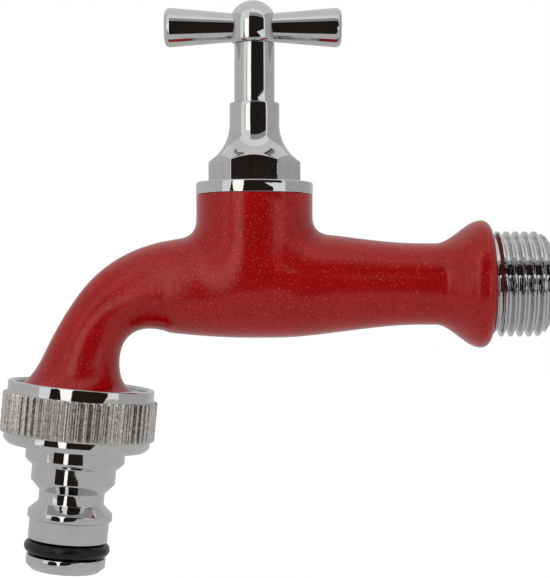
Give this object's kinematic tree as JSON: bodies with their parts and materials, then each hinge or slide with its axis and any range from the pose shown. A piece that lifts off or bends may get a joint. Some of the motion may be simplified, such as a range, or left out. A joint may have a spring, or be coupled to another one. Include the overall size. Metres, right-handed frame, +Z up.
{
  "type": "hose tap",
  "caption": "Wall-mounted bib tap with T-handle, rising spindle, bent spout, knurled union nut and push-on hose nose.",
  "frame": {"origin": "on the inlet's axis, at the shoulder where the inlet thread starts", "axes": "+X along the inlet, out of the tap towards the wall fitting; +Z up, towards the handle; the spout leans out along -X"},
  "size_m": [0.1087, 0.0306, 0.1137],
  "materials": {
    "red_paint": "semi-gloss red powder coat on brass",
    "chrome_plate": "bright chrome plate on brass",
    "black_rubber": "satin black rubber",
    "fibre": "pressed red-brown fibre",
    "bare_brass": "turned brass",
    "steel": "plain steel"
  },
  "bodies": {
    "body": {"tap_body": "red_paint", "bonnet": "chrome_plate", "bonnet_gasket": "fibre"},
    "valve": {"valve_jumper": "bare_brass", "seat_washer": "black_rubber", "seat_washer_nut": "bare_brass"},
    "spindle": {"spindle": "chrome_plate", "spindle_o_ring_upper": "black_rubber", "spindle_o_ring_lower": "black_rubber", "handle": "chrome_plate", "handle_grub_screw": "steel", "jumper_clip": "steel"},
    "connector": {"nose_piece": "chrome_plate", "outlet_washer": "black_rubber", "nose_o_ring": "black_rubber"},
    "nut": {"union_nut": "chrome_plate"}
  },
  "joints": [
    {"name": "valve_lift", "type": "slide", "parent": "body", "child": "valve", "axis": [0, 0, 1], "range_m": [0, 0.00525]},
    {"name": "handle_turn", "type": "hinge", "parent": "valve", "child": "spindle", "pos_m": [-0.0468, 0, 0], "axis": [0, 0, 1], "range_deg": [0, 1081]},
    {"name": "connector_drop", "type": "slide", "parent": "body", "child": "connector", "axis": [-0.0924, 0, -0.9957], "range_m": [0, 0.00635]},
    {"name": "nut_turn", "type": "hinge", "parent": "connector", "child": "nut", "pos_m": [-0.0811, 0, -0.02], "axis": [-0.0924, 0, -0.9957], "range_deg": [0, 1261]}
  ],
  "couplings": [
    {"joint": "handle_turn", "follows": "valve_lift", "rad_per_m": 3590.4},
    {"joint": "nut_turn", "follows": "connector_drop", "rad_per_m": 3463.7}
  ]
}
